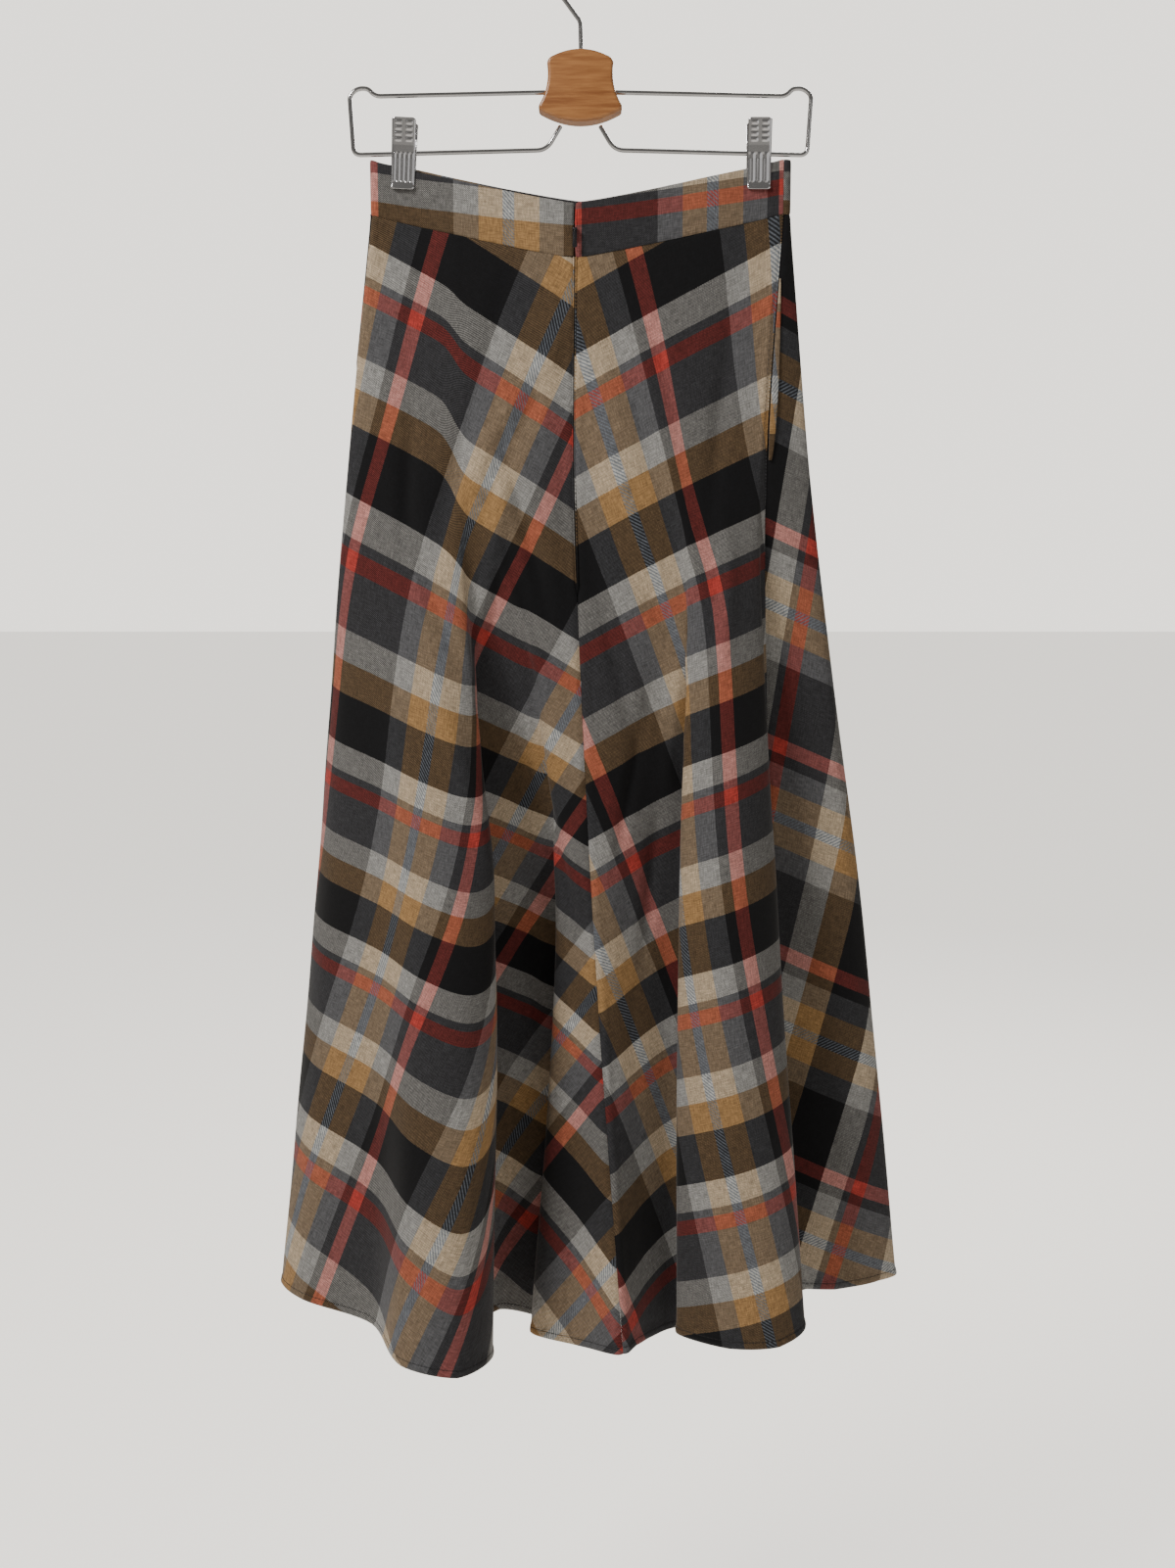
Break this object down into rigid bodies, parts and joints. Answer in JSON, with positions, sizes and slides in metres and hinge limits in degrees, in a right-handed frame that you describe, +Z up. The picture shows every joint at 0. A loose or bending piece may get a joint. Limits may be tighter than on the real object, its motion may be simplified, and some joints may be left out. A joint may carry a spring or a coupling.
{
  "type": "maxi skirt on a clip hanger",
  "caption": "Long flared plaid maxi skirt with a waistband, centre back zip and side-seam pocket, hung flat by its waistband from a wood and wire clip hanger.",
  "frame": {"origin": "inner crest of the hanger's hook, where a rail holds it", "axes": "+Z up, +X to the right seen from the skirt's back, -Y the way the skirt's back faces"},
  "size_m": [0.5553, 0.1437, 1.1541],
  "materials": {
    "plaid_cloth": "plaid twill, matt, softly brushed",
    "zip_tape": "matt black woven tape and coil",
    "zip_metal": "satin black enamel",
    "hanger_chrome": "bright chromed steel wire",
    "clip_chrome": "bright chromed pressed steel",
    "hanger_wood": "varnished orange-brown hardwood"
  },
  "bodies": {
    "skirt": {"panel_back_left": "plaid_cloth", "panel_back_right": "plaid_cloth", "panel_front_left": "plaid_cloth", "panel_front_right": "plaid_cloth", "waistband_back_left": "plaid_cloth", "waistband_back_right": "plaid_cloth", "waistband_front": "plaid_cloth", "pocket_facing_right": "plaid_cloth", "zip_chain": "zip_tape", "zip_slider": "zip_metal", "hanger_hook": "hanger_chrome", "hanger_wire_left": "hanger_chrome", "hanger_wire_right": "hanger_chrome", "hanger_block": "hanger_wood", "clip_left_front": "clip_chrome", "clip_left_back": "clip_chrome", "clip_left_spring": "clip_chrome", "clip_right_front": "clip_chrome", "clip_right_back": "clip_chrome", "clip_right_spring": "clip_chrome"},
    "pull_tab": {"zip_pull": "zip_metal"}
  },
  "joints": [
    {"name": "zip_pull_hinge", "type": "hinge", "parent": "skirt", "child": "pull_tab", "pos_m": [-0.0045, -0.0156, -0.2146], "axis": [-1, 0, 0], "range_deg": [0, 150]}
  ]
}
